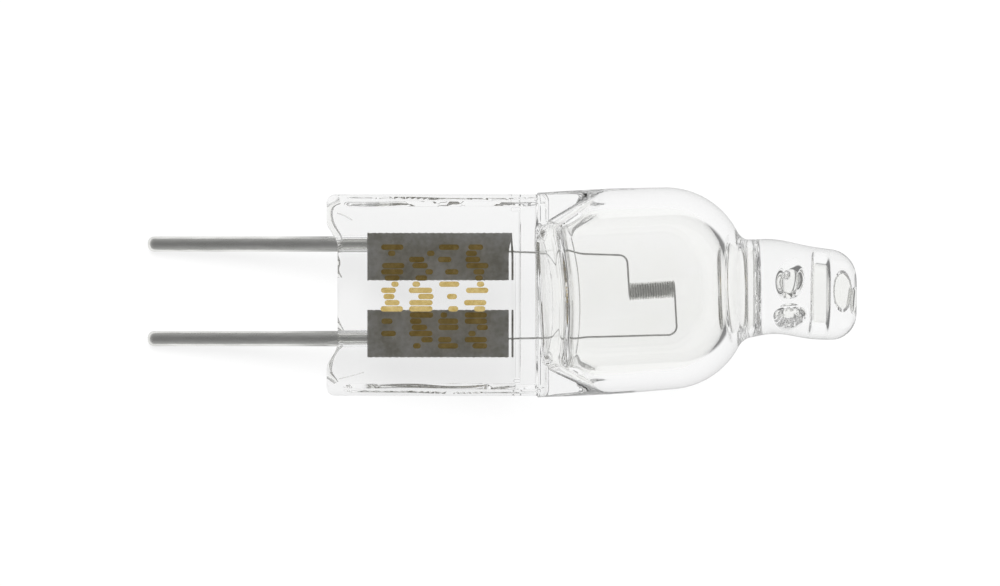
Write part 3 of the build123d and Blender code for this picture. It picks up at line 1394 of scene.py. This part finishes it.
@dataclass
class SealingFoil:
    """One sealing foil, a thin strip with thinned long edges.

    Attributes:
        side: Upper or lower.
        start: Where it starts, from the base of the pinch.
        length: Its length.
        width: Its width.
        thickness: Its thickness in the middle.
        edge_thickness: Its thickness along the long edges.
        feather: Width of the thinned edges.
        spacing: Between the foils' middles.
        ripple: Height of its faint waves.
        ripple_rates: How fast they run along and across it, in radians a millimetre.
        ragged: Depths of its edges' unevenness, each with how fast it runs.
        phase: How far the two foils' unevenness is apart, in radians.
        edge_share: Share of the feather that counts as the edge itself.
    """

    side: Side
    start: float = 1.25
    length: float = 5.95
    width: float = 2.0
    thickness: float = 0.03
    edge_thickness: float = 0.01
    feather: float = 0.25
    spacing: float = 3.25
    ripple: float = 0.006
    ripple_rates: Span = (2.1, 2.6)
    ragged: tuple[Span, Span] = ((0.008, 23.0), (0.006, 41.0))
    phase: float = 1.3
    edge_share: float = 0.02

    def skin(self) -> Skin:
        """The foil's closed surface, faintly waved and a little ragged along its edges.

        Returns:
            Its skin.
        """
        rows, columns = 120, 40
        along = np.linspace(0.0, self.length, rows)
        half = np.linspace(-self.width / 2.0, self.width / 2.0, columns)
        u, y = np.meshgrid(along, half, indexing="ij")
        thin = np.clip((self.width / 2.0 - np.abs(y)) / self.feather, 0.0, 1.0)
        thick = self.edge_thickness + (self.thickness - self.edge_thickness) * thin
        phase = self.phase * self.side.value
        rate_along, rate_across = self.ripple_rates
        wave = self.ripple * np.sin(rate_along * u + phase) * np.cos(rate_across * y - phase)
        (depth, rate), (fine_depth, fine_rate) = self.ragged
        ragged = depth * np.sin(rate * u + phase) + fine_depth * np.sin(fine_rate * u)
        middle = SEAL_MIDDLE + self.side.value * self.spacing / 2.0
        v = middle + y + ragged * np.sign(y) * (thin < self.edge_share)
        w = PIN_RADIUS + self.thickness / 2.0 + wave
        upper = np.stack((self.start + u, v, w + thick / 2.0), axis=-1)
        lower = np.stack((self.start + u, v, w - thick / 2.0), axis=-1)
        grid = np.concatenate((upper, lower[:, ::-1]), axis=1)
        ends = [(grid[end] + grid[end, ::-1]) / 2.0 for end in (0, -1)]
        return Skin.from_grid(np.concatenate((ends[0][None], grid, ends[1][None])), Facing.INWARD)

    def build(self, axes: Axes, finish: bpy.types.Material) -> bpy.types.Object:
        """Makes the foil.

        Args:
            axes: The bulb's axes.
            finish: Its metal.

        Returns:
            The piece.
        """
        piece = self.skin().build(f"{self.side.word}_foil_strip", axes, finish)
        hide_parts(f"{self.side.word}_foil")
        return piece


@dataclass
class Filament:
    """One tungsten wire: two legs and the coil between them.

    Attributes:
        turns: Turns of the coil.
        pitch: From turn to turn.
        coil: Radius of the coil's middle line.
        middle: Middle of the coil along and across the lamp.
        tilt: Tilt of the coil in the plane of the pinch, in degrees.
        plane: Height of the legs above the pins' plane.
        weld: Where the legs start on the foils.
        weld_spread: Between the legs there.
        corner_spread: Between the legs where they bend to the coil.
        bend: Radius of that bend.
    """

    turns: int = 18
    pitch: float = 0.108
    coil: float = 0.3275
    middle: Span = (13.25, 0.04)
    tilt: float = 3.5
    plane: float = PIN_RADIUS - WIRE_RADIUS
    weld: float = 6.15
    weld_spread: float = 3.74
    corner_spread: float = 3.34
    bend: float = 0.36

    def coil_path(self) -> np.ndarray:
        """Points along the coil, from its pin end to its tip end.

        Returns:
            The points.
        """
        per_turn = 40
        turn = np.linspace(0.0, FULL_TURN * self.turns, self.turns * per_turn + 1)
        tilt = math.radians(self.tilt)
        along = np.array((math.cos(tilt), math.sin(tilt), 0.0))
        down = np.array((math.sin(tilt), -math.cos(tilt), 0.0))
        up = np.array((0.0, 0.0, 1.0))
        centre = np.array((*self.middle, self.plane - self.coil))
        start = centre - along * self.turns * self.pitch / 2.0
        advance = along * (turn * self.pitch / FULL_TURN)[:, None]
        return start + advance + self.coil * (up * np.cos(turn)[:, None] + down * np.sin(turn)[:, None])

    def leg_path(self, side: Side, coil_end: np.ndarray) -> np.ndarray:
        """Points along a leg, from its weld round its bend to the coil.

        Args:
            side: Upper or lower leg.
            coil_end: The end of the coil that it runs into.

        Returns:
            The points.
        """
        leg_points, bend_points, run_points = 40, 16, 14
        weld = np.array((self.weld, SEAL_MIDDLE + side.value * self.weld_spread / 2.0, self.plane))
        bend_v = SEAL_MIDDLE + side.value * self.corner_spread / 2.0
        tilt = math.radians(self.tilt)
        corner = np.array((coil_end[0] + (coil_end[1] - bend_v) * math.tan(tilt), bend_v, self.plane))
        arriving = (corner - weld) / np.linalg.norm(corner - weld)
        leaving = (coil_end - corner) / np.linalg.norm(coil_end - corner)
        half = math.acos(float(np.clip(np.dot(arriving, leaving), -1.0, 1.0))) / 2.0
        reach = self.bend * math.tan(half)
        inward = (leaving - arriving) / np.linalg.norm(leaving - arriving)
        centre = corner + inward * self.bend / math.cos(half)
        first, last = corner - arriving * reach, corner + leaving * reach
        arc = []
        for share in np.linspace(0.0, 1.0, bend_points):
            chord = first * (1.0 - share) + last * share - centre
            arc.append(centre + chord / np.linalg.norm(chord) * self.bend)
        straight = np.linspace(weld, first, leg_points, endpoint=False)
        run = np.linspace(last, coil_end, run_points, endpoint=False)[1:]
        return np.concatenate((straight, np.array(arc), run))

    def skin(self) -> Skin:
        """The wire's surface, from one weld through the coil to the other.

        Returns:
            Its skin.
        """
        sides = 12
        coil = self.coil_path()
        upper = self.leg_path(Side.UPPER, coil[0])
        lower = self.leg_path(Side.LOWER, coil[-1])[::-1]
        return tube(np.concatenate((upper, coil, lower)), WIRE_RADIUS, sides)

    def build(self, axes: Axes, finish: bpy.types.Material) -> bpy.types.Object:
        """Makes the filament.

        Args:
            axes: The bulb's axes.
            finish: Its metal.

        Returns:
            The piece.
        """
        piece = self.skin().build("filament_wire", axes, finish)
        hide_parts("filament")
        return piece


# The print

@dataclass
class InkMarks:
    """Rows of plain bars and dots, stamped on the pinch's upper face.

    Attributes:
        columns: Where each row of marks runs across the pinch, and how wide it is.
        reach: How far the rows run to each side of the middle.
        middle: Middle of the rows, across the pinch.
        width: Width of a mark.
        gap: Between marks.
        height: Height of the ink's upper face above the pins' plane.
        thickness: Thickness of the ink.
        shares: Lengths of the marks, as shares of a row's width.
        seed: Start of the uneven order of the marks.
    """

    columns: tuple[Span, ...] = ((2.3, 1.05), (3.55, 1.1), (4.7, 0.95), (5.85, 1.05))
    reach: float = 2.2
    middle: float = -0.1
    width: float = 0.23
    gap: float = 0.03
    height: float = 1.306
    thickness: float = 0.004
    shares: tuple[float, ...] = (0.0, 0.3, 0.45, 0.6, 0.9)
    seed: int = 11

    def mark(self, u: float, v: float, length: float) -> Skin:
        """One mark with round ends.

        Args:
            u: Its middle along the lamp.
            v: Its middle across the pinch.
            length: Its length along the lamp.

        Returns:
            Its skin.
        """
        half, radius, end_points = length / 2.0, self.width / 2.0, 10
        turn = np.linspace(-QUARTER_TURN, QUARTER_TURN, end_points)
        right = np.stack((u + half - radius + radius * np.cos(turn), v + radius * np.sin(turn)), axis=-1)
        left = np.stack((u - half + radius - radius * np.cos(turn), v - radius * np.sin(turn)), axis=-1)
        outline = np.concatenate((right, left))
        rings = []
        for height in (self.height - self.thickness, self.height):
            rings.append(np.column_stack((outline, np.full(len(outline), height))))
        middles = [np.broadcast_to(ring.mean(axis=0), ring.shape) for ring in rings]
        return Skin.from_grid(np.stack((middles[0], *rings, middles[1])), Facing.OUTWARD)

    def build(self, axes: Axes, finish: bpy.types.Material) -> bpy.types.Object:
        """Makes all marks as one piece.

        Args:
            axes: The bulb's axes.
            finish: The ink.

        Returns:
            The piece.
        """
        marks = []
        uneven = np.random.default_rng(self.seed)
        pitch = self.width + self.gap
        for u, room in self.columns:
            for v in np.arange(self.middle - self.reach, self.middle + self.reach, pitch):
                length = room * float(uneven.choice(self.shares))
                slack = (room - length) / 2.0
                shift = float(uneven.uniform(-slack, slack))
                if length > self.width:
                    marks.append(self.mark(u + shift, float(v), length))
        return sum(marks[1:], marks[0]).build("ink_marks", axes, finish)


# The studio

@dataclass
class Studio:
    """A pale table, soft light and the camera above the pinch's face.

    Attributes:
        image: Width and height of the picture, in pixels.
        scale: Pixels to a millimetre, at the pins' plane.
        origin_pixel: Where the bulb's origin lies in the picture.
        distance: From the camera to the bulb, in metres.
        sensor: Width of the camera's sensor, in millimetres.
        nearest: How near to the camera things are seen, in metres.
        table: Half the width of the table, in metres.
        table_tone: Its own shade of white.
        shade_share: Share of the table's own shading that shows in its white.
        lamp_size: Width of the soft lamp, in metres.
        lamp_place: Where it hangs, in metres.
        lamp_power: Its power, in watts.
        daylight: Brightness of the surround as light on the bulb.
        patch: Half the length across the bulb of the table's bright patch that glass sees, in metres.
        patch_middle: Where the middle of that patch lies along the table, in metres.
        patch_edges: Distances from it between which the table turns dim for glass, in metres.
        patch_level: Brightness of that patch.
        surround: Brightness of the table round that patch.
        mirror_level: Brightness of the table that the glass mirrors.
        mirror_edges: Places along the table between which it sets in, from pins to glass, in metres.
        zenith: Brightness overhead that metal and glass see.
        horizon: Brightness level with the table that they see.
        bounces: How often light may bounce in the glass.
    """

    image: tuple[int, int] = (1000, 586)
    scale: float = 23.65
    origin_pixel: Span = (338.0, 291.3)
    distance: float = 0.4
    sensor: float = 36.0
    nearest: float = 0.01
    table: float = 1.5
    table_tone: float = 0.9
    shade_share: float = 0.2
    lamp_size: float = 0.5
    lamp_place: Place = (-0.25, 0.35, 0.7)
    lamp_power: float = 7.0
    daylight: float = 0.55
    patch: float = 0.012
    patch_middle: float = 0.004
    patch_edges: Span = (0.0132, 0.0165)
    patch_level: float = 0.94
    surround: float = 0.18
    mirror_level: float = 0.5
    mirror_edges: Span = (-0.009, -0.007)
    zenith: float = 0.28
    horizon: float = 0.65
    bounces: int = 32

    def camera(self, axes: Axes) -> bpy.types.Object:
        """Sets the camera square to the pinch's face.

        Args:
            axes: The bulb's axes.

        Returns:
            The camera.
        """
        width, height = self.image
        u = (width / 2.0 - self.origin_pixel[0]) / self.scale
        v = (self.origin_pixel[1] - height / 2.0) / self.scale
        data = bpy.data.cameras.new("camera")
        data.sensor_width = self.sensor
        data.lens = self.sensor * self.distance / (width / self.scale * MM)
        data.clip_start = self.nearest
        camera = bpy.data.objects.new("camera", data)
        bpy.context.scene.collection.objects.link(camera)
        turn = Matrix((axes.along, axes.across, axes.out)).transposed()
        camera.matrix_world = Matrix.Translation(axes.place(u, v, self.distance / MM)) @ turn.to_4x4()
        bpy.context.scene.camera = camera
        return camera

    def shows(self, tree: bpy.types.NodeTree) -> bpy.types.NodeSocket:
        """How far a ray is one that looks at the background: from the camera, a mirror or glass.

        Args:
            tree: The node tree to add to.

        Returns:
            A socket that is 1 for such rays.
        """
        path = add_node(tree, "ShaderNodeLightPath").outputs
        seen = path["Is Camera Ray"]
        for ray in ("Is Glossy Ray", "Is Transmission Ray"):
            seen = maths(tree, "MAXIMUM", seen, path[ray])
        return seen

    def brightness(self, tree: bpy.types.NodeTree) -> bpy.types.NodeSocket:
        """The table's brightness: full, but dim for glass that looks far past the bulb.

        Args:
            tree: The table's node tree.

        Returns:
            A socket with the brightness.
        """
        where = add_node(tree, "ShaderNodeTexCoord").outputs["Object"]
        place = add_node(tree, "ShaderNodeSeparateXYZ", {0: where}).outputs
        along = maths(tree, "SUBTRACT", place["X"], self.patch_middle)
        past = maths(tree, "SUBTRACT", maths(tree, "ABSOLUTE", place["Y"]), self.patch)
        past = maths(tree, "MAXIMUM", past, 0.0)
        squares = maths(tree, "ADD", maths(tree, "POWER", past, 2.0), maths(tree, "MULTIPLY", along, along))
        away = maths(tree, "SQRT", squares)
        levels = (self.patch_level, self.surround)
        through = ramp(tree, away, self.patch_edges, levels, "SMOOTHSTEP")
        mirrored = ramp(tree, place["X"], self.mirror_edges, (1.0, self.mirror_level))
        path = add_node(tree, "ShaderNodeLightPath").outputs
        mirror_ray = maths(tree, "MULTIPLY", path["Is Reflection Ray"], path["Is Glossy Ray"])
        lost = 0.0
        for ray, level in ((mirror_ray, mirrored), (path["Is Transmission Ray"], through)):
            dimmed = maths(tree, "SUBTRACT", 1.0, level)
            lost = maths(tree, "ADD", lost, maths(tree, "MULTIPLY", ray, dimmed))
        return maths(tree, "SUBTRACT", 1.0, lost)

    def floor(self) -> bpy.types.Object:
        """Makes the pale table, white to look at, which keeps a soft shadow.

        Returns:
            The table.
        """
        half = self.table
        mesh = bpy.data.meshes.new("table")
        corners = [(-half, -half, 0.0), (half, -half, 0.0), (half, half, 0.0), (-half, half, 0.0)]
        mesh.from_pydata(corners, [], [(0, 1, 2, 3)])
        material, shader, output = blank("pale_table")
        tree = material.node_tree
        shader.inputs["Roughness"].default_value = 1.0
        shader.inputs["Specular IOR Level"].default_value = 0.0
        bright = self.brightness(tree)
        tone = mix_colours(tree, bright, (0.0, 0.0, 0.0, 1.0), (*[self.table_tone] * 3, 1.0))
        tree.links.new(tone, shader.inputs["Base Color"])
        glow = add_node(tree, "ShaderNodeEmission", {"Strength": bright}).outputs[0]
        shaded = shader.outputs["BSDF"]
        white = mix_shaders(tree, self.shade_share, glow, shaded)
        tree.links.new(mix_shaders(tree, self.shows(tree), shaded, white), output.inputs["Surface"])
        mesh.materials.append(material)
        table = bpy.data.objects.new("table", mesh)
        bpy.context.scene.collection.objects.link(table)
        return table

    def sky(self) -> None:
        """Surrounds the table with white that metal and glass see as a dim room."""
        world = bpy.data.worlds.new("surround")
        world.use_nodes = True
        tree = world.node_tree
        tree.nodes.clear()
        where = add_node(tree, "ShaderNodeTexCoord").outputs["Generated"]
        height = add_node(tree, "ShaderNodeSeparateXYZ", {0: where}).outputs["Z"]
        room = ramp(tree, height, (0.0, 1.0), (self.horizon, self.zenith))
        camera_ray = add_node(tree, "ShaderNodeLightPath").outputs["Is Camera Ray"]
        tone = ramp(tree, camera_ray, (0.0, 1.0), (room, 1.0))
        seen = add_node(tree, "ShaderNodeBackground", {"Strength": tone}).outputs[0]
        white = {"Color": (1.0, 1.0, 1.0, 1.0), "Strength": self.daylight}
        light = add_node(tree, "ShaderNodeBackground", white).outputs[0]
        mixed = mix_shaders(tree, self.shows(tree), light, seen)
        add_node(tree, "ShaderNodeOutputWorld", {"Surface": mixed})
        bpy.context.scene.world = world

    def lamp(self) -> bpy.types.Object:
        """Hangs one large soft lamp above and behind the bulb.

        Returns:
            The lamp.
        """
        data = bpy.data.lights.new("softbox", "AREA")
        data.shape = "DISK"
        data.size = self.lamp_size
        data.energy = self.lamp_power
        lamp = bpy.data.objects.new("softbox", data)
        bpy.context.scene.collection.objects.link(lamp)
        lamp.location = self.lamp_place
        lamp.rotation_euler = (-lamp.location).to_track_quat("-Z", "Y").to_euler()
        lamp.visible_glossy = False
        lamp.visible_transmission = False
        return lamp

    def build(self, axes: Axes) -> None:
        """Sets up the camera, table, surround and lamp.

        Args:
            axes: The bulb's axes.
        """
        self.camera(axes)
        self.floor()
        self.sky()
        self.lamp()
        scene = bpy.context.scene
        scene.view_settings.view_transform = "Standard"
        scene.cycles.max_bounces = self.bounces
        scene.cycles.glossy_bounces = self.bounces
        scene.cycles.transmission_bounces = self.bounces
        scene.cycles.transparent_max_bounces = self.bounces


def main() -> None:
    """Builds the bulb's pieces in order, then the studio round them."""
    logging.basicConfig(level=logging.INFO, format="%(name)s %(message)s")
    axes = Axes.from_record(frame["record"])
    blotches = blotch_group()
    GlassEnvelope().build(axes, QUARTZ.material(blotches), STAINED_QUARTZ.material(blotches))
    pin_wire, foil_strip = PIN_WIRE.material(blotches), FOIL_STRIP.material(blotches)
    for side in Side:
        ContactPin(side).build(axes, pin_wire)
        SealingFoil(side).build(axes, foil_strip)
    Filament().build(axes, TUNGSTEN.material(blotches))
    InkMarks().build(axes, GOLD_INK.material(blotches))
    Studio().build(axes)


if __name__ == "__main__":
    main()
